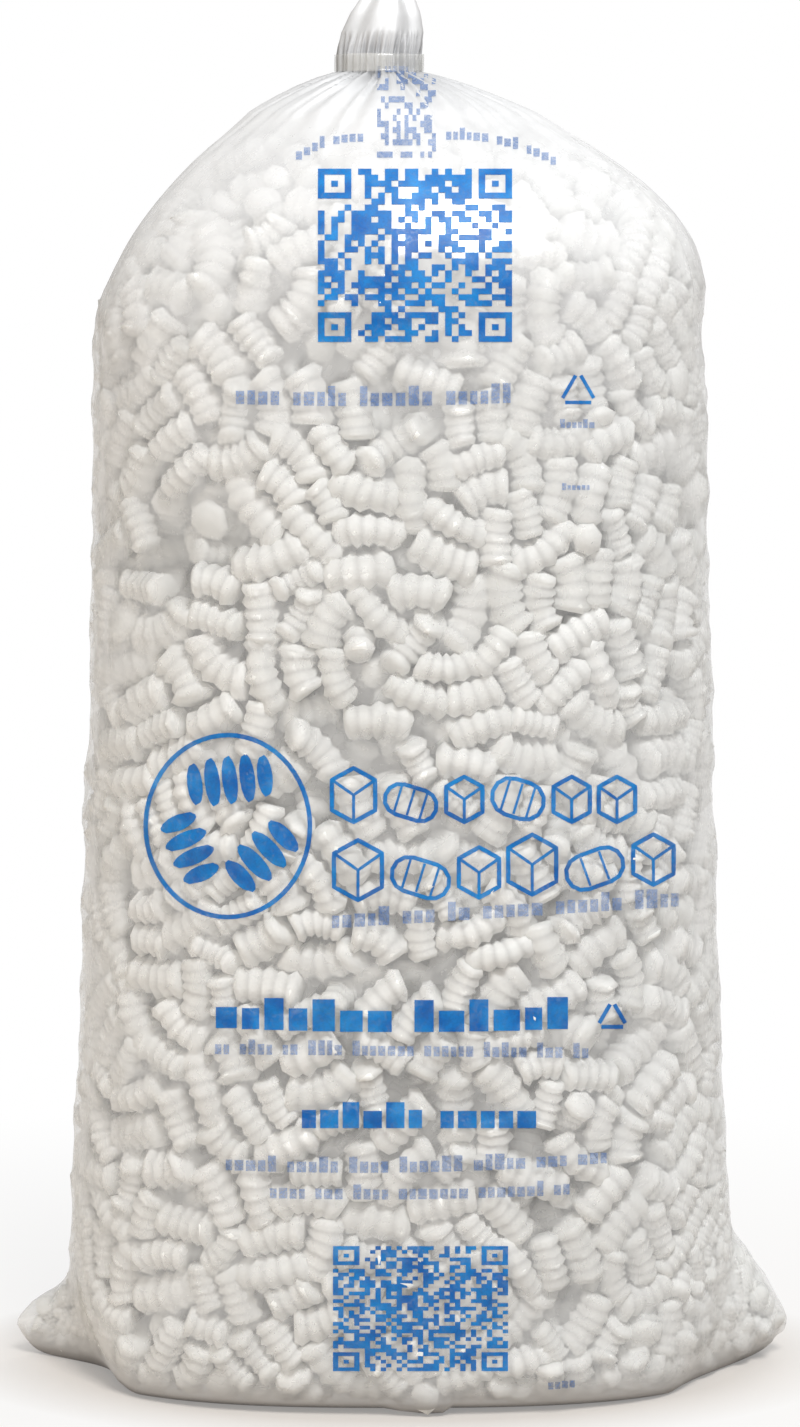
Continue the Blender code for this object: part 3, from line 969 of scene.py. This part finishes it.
def headline():
    """Two rows of cartons and rolls. The lower one rises a little to the right, where the bag bulges."""
    quads = []
    for start, level, rise, high, row in ((332, 822, 0, 54, "crcrcc"), (334, 900, 22, 60, "crccrc")):
        x = start
        for n, sign in enumerate(row):
            y, wide = level - rise * (n / len(row)) ** 2, high * (0.8 if sign == "c" else 0.98)
            tall = high * (1.0 if n % 3 == 0 else 0.84)
            if sign == "c":
                quads += carton_sign(x, y, wide * tall / high, tall, 4.4)
                x += wide * tall / high + 9
            else:
                quads += roll_sign(x, y, wide, tall * 0.86, 4.2, (-0.35, 0.3)[n % 2], 2 + n % 2)
                x += wide + 9
    return quads


def bold_print():
    quads = mosaic(318, 169, 512, 342, 29, 0.54) + mosaic(333, 1246, 508, 1371, 33, 0.55)
    quads += emblem() + headline()
    quads += dashes(216, 570, 1028, 32, 0, 1.25, 4) + triangle(612, 1018, 30, 4)
    quads += dashes(302, 541, 1128, 26, 0, 1.2, 0) + triangle(578, 392, 36, 3.6)
    return quads


def fine_print():
    quads = dashes(236, 524, 404, 20, 2, 0.8, 3) + dashes(560, 596, 428, 9, 0, 0.9)
    quads += dashes(332, 680, 928, 19, 22, 0.9) + dashes(215, 590, 1054, 15, -4, 0.8)
    quads += dashes(226, 614, 1170, 16, 8, 0.9, 6) + dashes(270, 570, 1198, 15, 4, 0.9, 3)
    quads += dashes(562, 594, 490, 7, 0, 0.9) + dashes(548, 582, 1389, 10, 3, 1.0)
    quads += dashes(296, 374, 160, 12, 16, 0.9, -8) + dashes(446, 556, 140, 12, -28, 0.9, -8)
    quads += mosaic(377, 66, 436, 158, 15, 0.42, frames=False)
    return quads


BOLD_INK = print_on_film("ink_bold", bold_print())
FINE_INK = print_on_film("ink_fine", fine_print())


# %% [markdown]
# ## Materials
#
# Each material is built from nodes. Two effects are shared, so they are node groups: `speckle`, which breaks up a
# colour in patches, and `crinkle`, which gives the height of small creases. Their values vary over the surface,
# and what is the same everywhere is set on the shader itself.

# %% Shader tools
def new_group(name, inputs, outputs):
    group = bpy.data.node_groups.new(name, "ShaderNodeTree")
    for socket, kind, value in inputs:
        made = group.interface.new_socket(name=socket, in_out="INPUT", socket_type=kind)
        if value is not None:
            made.default_value = value
    for socket, kind in outputs:
        group.interface.new_socket(name=socket, in_out="OUTPUT", socket_type=kind)
    return group, group.nodes.new("NodeGroupInput"), group.nodes.new("NodeGroupOutput")


def math_node(tree, operation, first, second):
    node = tree.nodes.new("ShaderNodeMath")
    node.operation = operation
    for socket, value in zip(node.inputs, (first, second)):
        if isinstance(value, (int, float)):
            socket.default_value = value
        else:
            tree.links.new(value, socket)
    return node.outputs[0]


def range_node(tree, value, low, high, to_low, to_high):
    node = tree.nodes.new("ShaderNodeMapRange")
    tree.links.new(value, node.inputs["Value"])
    for socket, number in zip(("From Min", "From Max", "To Min", "To Max"), (low, high, to_low, to_high)):
        node.inputs[socket].default_value = number
    return node.outputs[0]


def noise_node(tree, vector, scale, detail=4.0, roughness=0.5, distortion=0.0):
    node = tree.nodes.new("ShaderNodeTexNoise")
    tree.links.new(vector, node.inputs["Vector"])
    for socket, number in (("Scale", scale), ("Detail", detail), ("Roughness", roughness), ("Distortion", distortion)):
        node.inputs[socket].default_value = number
    return node.outputs["Fac"]


def mix_colour(tree, share, first, second, blend_type="MIX"):
    node = tree.nodes.new("ShaderNodeMix")
    node.data_type, node.blend_type = "RGBA", blend_type
    for socket, value in ((node.inputs[0], share), (node.inputs[6], first), (node.inputs[7], second)):
        if isinstance(value, (int, float)):
            socket.default_value = value
        elif isinstance(value, tuple):
            socket.default_value = (*value, 1)
        else:
            tree.links.new(value, socket)
    return node.outputs[2]


def speckle_group():
    group, given, result = new_group(
        "speckle",
        [("Vector", "NodeSocketVector", None), ("Size", "NodeSocketFloat", 60.0)],
        [("Coarse", "NodeSocketFloat"), ("Fine", "NodeSocketFloat")],
    )
    coarse = group.nodes.new("ShaderNodeTexNoise")
    fine = group.nodes.new("ShaderNodeTexNoise")
    for node, detail in ((coarse, 2.0), (fine, 3.0)):
        group.links.new(given.outputs["Vector"], node.inputs["Vector"])
        node.inputs["Detail"].default_value = detail
    group.links.new(given.outputs["Size"], coarse.inputs["Scale"])
    group.links.new(math_node(group, "MULTIPLY", given.outputs["Size"], 9.0), fine.inputs["Scale"])
    group.links.new(coarse.outputs["Fac"], result.inputs["Coarse"])
    group.links.new(fine.outputs["Fac"], result.inputs["Fine"])
    return group


def crinkle_group():
    group, given, result = new_group(
        "crinkle",
        [("Vector", "NodeSocketVector", None), ("Size", "NodeSocketFloat", 40.0), ("Sharpness", "NodeSocketFloat", 3.0)],
        [("Height", "NodeSocketFloat")],
    )
    creases = group.nodes.new("ShaderNodeTexNoise")
    creases.noise_type = "RIDGED_MULTIFRACTAL"
    creases.inputs["Detail"].default_value = 3.0
    group.links.new(given.outputs["Vector"], creases.inputs["Vector"])
    group.links.new(given.outputs["Size"], creases.inputs["Scale"])
    raised = group.nodes.new("ShaderNodeMath")
    raised.operation = "POWER"
    group.links.new(creases.outputs["Fac"], raised.inputs[0])
    group.links.new(given.outputs["Sharpness"], raised.inputs[1])
    group.links.new(raised.outputs[0], result.inputs["Height"])
    return group


SPECKLE, CRINKLE = speckle_group(), crinkle_group()


def place_group(tree, group, vector, **values):
    node = tree.nodes.new("ShaderNodeGroup")
    node.node_tree = group
    tree.links.new(vector, node.inputs["Vector"])
    for name, value in values.items():
        node.inputs[name].default_value = value
    return node.outputs


def start_material(name, roughness, colour=None):
    made = bpy.data.materials.new(name)
    made.use_nodes = True
    tree = made.node_tree
    shader = tree.nodes["Principled BSDF"]
    shader.inputs["Roughness"].default_value = roughness
    if colour:
        shader.inputs["Base Color"].default_value = (*colour, 1)
    place = tree.nodes.new("ShaderNodeTexCoord").outputs["Object"]
    return made, tree, shader, place


def add_bump(tree, shader, height, strength, distance):
    bump = tree.nodes.new("ShaderNodeBump")
    bump.inputs["Strength"].default_value = strength
    bump.inputs["Distance"].default_value = distance
    tree.links.new(height, bump.inputs["Height"])
    tree.links.new(bump.outputs["Normal"], shader.inputs["Normal"])


def attribute(tree, name):
    node = tree.nodes.new("ShaderNodeAttribute")
    node.attribute_name = name
    return node.outputs["Fac"]


# %% [markdown]
# ### Foam
#
# Starch foam is off-white, and every batch is a little creamier or greyer. Its skin is dull, with fine puffed
# cells just large enough to feel. The waists between its ribs are painted darker: painted shade in the grooves.

# %% Foam material
def foam_material():
    made, tree, shader, place = start_material("foam", 0.55)
    patches = place_group(tree, SPECKLE, place, Size=55.0)
    tinted = mix_colour(tree, attribute(tree, "tint"), (0.92, 0.918, 0.90), (0.82, 0.82, 0.795))
    # Painted shade: where the rib value falls to 0 in the waists between the ribs, the colour is painted towards the
    # darker grey below, and deep carries that painted shade.
    groove_shade = range_node(tree, attribute(tree, "rib"), 0.0, 0.6, 0.0, 1.0)
    deep = mix_colour(tree, groove_shade, (0.67, 0.665, 0.65), tinted)
    shade = range_node(tree, patches["Coarse"], 0.3, 0.7, 0.86, 1.0)
    tree.links.new(mix_colour(tree, shade, (0.62, 0.62, 0.595), deep), shader.inputs["Base Color"])
    cells = tree.nodes.new("ShaderNodeTexVoronoi")
    cells.feature = "F1"
    cells.inputs["Scale"].default_value = 520
    tree.links.new(place, cells.inputs["Vector"])
    height = math_node(tree, "ADD", math_node(tree, "MULTIPLY", cells.outputs["Distance"], 0.5), patches["Fine"])
    add_bump(tree, shader, height, 0.4, 0.4 * MM)
    return made


FOAM = foam_material()


# %% [markdown]
# ### Film, tape and ink
#
# Thin clear film is seen by its haze and its glints. So it lets most of what is behind it through, more where it
# faces us and less where it curves away, and it turns milky where many layers are gathered, at the neck and in
# the tail. From the shoulders up its colour is painted whiter, which is painted light, and along the floor it is
# painted dark and nearly opaque, which is painted shade of the underside. A thin layer shows only a share of its
# own gloss, so its refraction is set higher than that of the solid plastic.

# %% Film material
def film_material():
    made, tree, shader, place = start_material("film", 0.2)
    shader.inputs["IOR"].default_value = 3.0
    patches = place_group(tree, SPECKLE, place, Size=14.0)
    creases = place_group(tree, CRINKLE, place, Size=26.0, Sharpness=2.0)
    gather = attribute(tree, "gather")
    foot_shade, slack_and_top_light = attribute(tree, "foot_shade"), attribute(tree, "slack_and_top_light")
    # Painted light: the film's colour is painted from grey to near white from the shoulders up to the neck.
    clear = mix_colour(tree, slack_and_top_light, (0.83, 0.83, 0.82), (0.97, 0.97, 0.97))
    tint = mix_colour(tree, gather, clear, (0.38, 0.38, 0.385))
    # Painted shade: along the floor the film's colour is painted dark brown.
    tree.links.new(mix_colour(tree, foot_shade, tint, (0.085, 0.065, 0.05)), shader.inputs["Base Color"])
    facing = tree.nodes.new("ShaderNodeLayerWeight")
    facing.inputs["Blend"].default_value = 0.35
    haze = range_node(tree, patches["Coarse"], 0.3, 0.7, 0.18, 0.36)
    grazing = math_node(tree, "MULTIPLY", facing.outputs["Facing"], 0.32)
    # The foot value also makes the film nearly opaque along the floor, as part of the same painted shade; slack film
    # near the top gets more haze.
    layers_and_foot_shade = math_node(tree, "ADD", math_node(tree, "MULTIPLY", gather, 0.75), math_node(tree, "MULTIPLY", foot_shade, 0.75))
    layers_and_foot_shade = math_node(tree, "ADD", layers_and_foot_shade, math_node(tree, "MULTIPLY", slack_and_top_light, 0.17))
    layers_and_foot_shade = math_node(tree, "ADD", layers_and_foot_shade, math_node(tree, "MULTIPLY", attribute(tree, "span"), 0.15))
    total = math_node(tree, "ADD", math_node(tree, "ADD", haze, grazing), layers_and_foot_shade)
    opaque = tree.nodes.new("ShaderNodeMath")
    opaque.operation, opaque.use_clamp = "MINIMUM", True
    tree.links.new(total, opaque.inputs[0])
    opaque.inputs[1].default_value = 0.93
    tree.links.new(opaque.outputs[0], shader.inputs["Alpha"])
    dull = math_node(tree, "MULTIPLY", math_node(tree, "MAXIMUM", gather, foot_shade), 0.5)
    rough = range_node(tree, patches["Fine"], 0.3, 0.7, 0.16, 0.32)
    tree.links.new(math_node(tree, "ADD", rough, dull), shader.inputs["Roughness"])
    add_bump(tree, shader, creases["Height"], 0.9, 0.8 * MM)
    return made


def tape_material():
    made, tree, shader, place = start_material("tape", 0.12, (0.90, 0.89, 0.85))
    shader.inputs["IOR"].default_value = 1.9
    patches = place_group(tree, SPECKLE, place, Size=90.0)
    tree.links.new(range_node(tree, patches["Coarse"], 0.35, 0.65, 0.10, 0.22), shader.inputs["Alpha"])
    tree.links.new(range_node(tree, patches["Fine"], 0.3, 0.7, 0.08, 0.25), shader.inputs["Roughness"])
    add_bump(tree, shader, patches["Coarse"], 0.4, 0.3 * MM)
    return made


def ink_material(name, colour, pale, cover):
    """Ink on film: a strong blue, thin in places, so that the film shows through."""
    made, tree, shader, place = start_material(name, 0.45)
    shader.inputs["Specular IOR Level"].default_value = 0.25
    patches = place_group(tree, SPECKLE, place, Size=70.0)
    tree.links.new(mix_colour(tree, range_node(tree, patches["Coarse"], 0.35, 0.7, 0, 1), colour, pale), shader.inputs["Base Color"])
    tree.links.new(range_node(tree, patches["Fine"], 0.35, 0.6, cover - 0.2, cover), shader.inputs["Alpha"])
    add_bump(tree, shader, patches["Fine"], 0.15, 0.1 * MM)
    return made


FILM_LOOK, TAPE_LOOK = film_material(), tape_material()
BOLD_LOOK = ink_material("ink_blue", (0.0, 0.105, 0.39), (0.008, 0.22, 0.58), 0.98)
FINE_LOOK = ink_material("ink_pale", (0.10, 0.20, 0.44), (0.22, 0.33, 0.58), 0.6)


# %% Dress the pieces
def dress(piece, look, slot, *nodes):
    piece.data.materials.clear()
    piece.data.materials.append(look)
    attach(piece, "root")
    if nodes:
        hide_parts(*nodes)


dress(PEANUTS[0], FOAM, "foam", *LOOSE_NODES)
for piece in PEANUTS[1:]:
    dress(piece, FOAM, "foam", "peanut_heap")
dress(FILM, FILM_LOOK, "film", "film_bag")
dress(TAPE, TAPE_LOOK, "tape", "neck_tape")
dress(BOLD_INK, BOLD_LOOK, "ink")
dress(FINE_INK, FINE_LOOK, "ink")


# %% [markdown]
# ## The studio
#
# The bag stands on a white floor in front of white. A large soft lamp overhead gives the foam its bright tops,
# and a weaker one from the left, a little warm, opens the shade. The camera sees the world and the far floor as
# plain white, while near the bag the floor keeps its shadow.

# %% Floor and light
def add_floor():
    select_none()
    bpy.ops.mesh.primitive_plane_add(size=60, location=(0, 0, 0))
    floor = bpy.context.object
    floor.name = "floor"
    made, tree, shader, place = start_material("floor", 0.9, (0.55, 0.50, 0.45))
    oval_place = tree.nodes.new("ShaderNodeVectorMath")
    oval_place.operation = "MULTIPLY"
    oval_place.inputs[1].default_value = (1.0, 1.65, 1.0)
    tree.links.new(place, oval_place.inputs[0])
    far = tree.nodes.new("ShaderNodeVectorMath")
    far.operation = "LENGTH"
    tree.links.new(oval_place.outputs[0], far.inputs[0])
    white = tree.nodes.new("ShaderNodeEmission")
    seen = tree.nodes.new("ShaderNodeLightPath")
    rays = math_node(tree, "MAXIMUM", seen.outputs["Is Camera Ray"], seen.outputs["Is Glossy Ray"])
    near = range_node(tree, far.outputs["Value"], 0.19, 0.25, 0.25, 0.84)
    wide = range_node(tree, far.outputs["Value"], 0.25, 0.9, 0.0, 0.16)
    share = math_node(tree, "MULTIPLY", rays, math_node(tree, "ADD", near, wide))
    blend_node = tree.nodes.new("ShaderNodeMixShader")
    tree.links.new(share, blend_node.inputs[0])
    tree.links.new(shader.outputs[0], blend_node.inputs[1])
    tree.links.new(white.outputs[0], blend_node.inputs[2])
    tree.links.new(blend_node.outputs[0], tree.nodes["Material Output"].inputs["Surface"])
    floor.data.materials.append(made)
    return floor


def add_lamp(name, place, aim, size, energy, colour):
    bpy.ops.object.light_add(type="AREA", location=place)
    lamp = bpy.context.object
    lamp.name = name
    lamp.data.shape, lamp.data.size = "DISK", size
    lamp.data.energy, lamp.data.color = energy, colour
    lamp.rotation_euler = (Vector(aim) - Vector(place)).to_track_quat("-Z", "Y").to_euler()
    return lamp


def add_world():
    world = bpy.data.worlds.new("studio")
    bpy.context.scene.world = world
    world.use_nodes = True
    tree = world.node_tree
    light = tree.nodes["Background"]
    light.inputs["Color"].default_value = (0.99, 0.975, 0.95, 1)
    light.inputs["Strength"].default_value = 0.36
    white = tree.nodes.new("ShaderNodeBackground")
    white.inputs["Color"].default_value = (1, 1, 1, 1)
    seen = tree.nodes.new("ShaderNodeLightPath")
    both = tree.nodes.new("ShaderNodeMixShader")
    rays = math_node(tree, "MAXIMUM", seen.outputs["Is Camera Ray"], seen.outputs["Is Transmission Ray"])
    tree.links.new(rays, both.inputs[0])
    tree.links.new(light.outputs[0], both.inputs[1])
    tree.links.new(white.outputs[0], both.inputs[2])
    tree.links.new(both.outputs[0], tree.nodes["World Output"].inputs["Surface"])


add_floor()
add_lamp("key", (0.6, -1.8, 3.0), (0, 0, 0.25), 1.1, 112, (0.97, 0.985, 1.0))
for side_lamp in (
    add_lamp("left", (-1.5, -1.1, 0.3), (-0.1, 0, 0.05), 0.8, 8, (1.0, 0.88, 0.74)),
    add_lamp("back", (0.9, 2.4, 1.8), (0, 0, 0.3), 1.2, 22, (1.0, 1.0, 1.0)),
):
    side_lamp.visible_glossy = False
add_world()
bpy.context.scene.view_settings.view_transform = "Standard"
